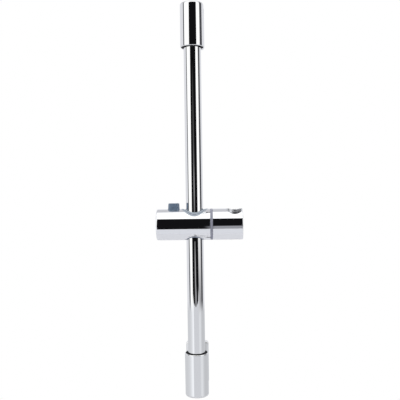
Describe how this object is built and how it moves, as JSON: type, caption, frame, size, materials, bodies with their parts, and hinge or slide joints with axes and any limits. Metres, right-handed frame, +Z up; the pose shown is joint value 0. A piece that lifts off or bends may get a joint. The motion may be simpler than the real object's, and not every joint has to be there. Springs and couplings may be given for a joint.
{
  "type": "shower slide rail",
  "caption": "Chrome wall rail with a push-button slider whose tilting holder carries a shower handset",
  "frame": {"origin": "On the wall plane, midway between the two wall screws", "axes": "+Z up along the rail, +Y into the wall, +X to the right when facing the wall"},
  "size_m": [0.1245, 0.0686, 0.575],
  "materials": {
    "chrome": "polished",
    "steel": "satin",
    "plate_plastic": "matte",
    "core_plastic": "matte",
    "collar_plastic": "satin",
    "guide_plastic": "satin",
    "button_plastic": "satin",
    "ring_plastic": "satin",
    "pad_rubber": "matte"
  },
  "bodies": {
    "rail": {"rail_tube": "chrome", "upper_cap": "chrome", "lower_cap": "chrome", "upper_bracket": "chrome", "lower_bracket": "chrome", "upper_wall_plate": "plate_plastic", "lower_wall_plate": "plate_plastic", "upper_fixing_screw": "steel", "lower_fixing_screw": "steel", "upper_tube_plug": "plate_plastic", "lower_tube_plug": "plate_plastic"},
    "liner": {"glide_liner": "guide_plastic"},
    "slider": {"slider_shell": "chrome", "slider_core": "core_plastic", "bore_sleeve": "collar_plastic", "guide_bushing": "guide_plastic", "friction_ring": "ring_plastic", "axle_nut": "steel", "axle_bolt": "steel", "axle_washer": "steel", "axle_spring": "steel", "brake_spring": "steel"},
    "button": {"release_button": "button_plastic"},
    "brake": {"brake_shoe": "core_plastic", "brake_pad": "pad_rubber"},
    "holder": {"handset_holder": "chrome", "axle_cover": "chrome"}
  },
  "joints": [
    {"name": "slider_slide", "type": "slide", "parent": "rail", "child": "liner", "axis": [0, 0, 1], "range_m": [-0.1635, 0.2315]},
    {"name": "slider_swivel", "type": "hinge", "parent": "liner", "child": "slider", "pos_m": [0, -0.046, -0.04], "axis": [0, 0, 1], "range_deg": [-25, 20]},
    {"name": "button_press", "type": "slide", "parent": "slider", "child": "button", "axis": [0, 0, -1], "range_m": [0, 0.003], "stiffness_N_per_m": 1500, "springref_m": -0.004},
    {"name": "brake_release", "type": "slide", "parent": "slider", "child": "brake", "axis": [-1, 0, 0], "range_m": [0, 0.0015], "deforming": ["brake_spring"]},
    {"name": "holder_tilt", "type": "hinge", "parent": "slider", "child": "holder", "pos_m": [0, -0.046, -0.04], "axis": [1, 0, 0], "range_deg": [-59, 31]}
  ],
  "couplings": [
    {"joint": "brake_release", "follows": "button_press", "ratio": 0.5}
  ]
}
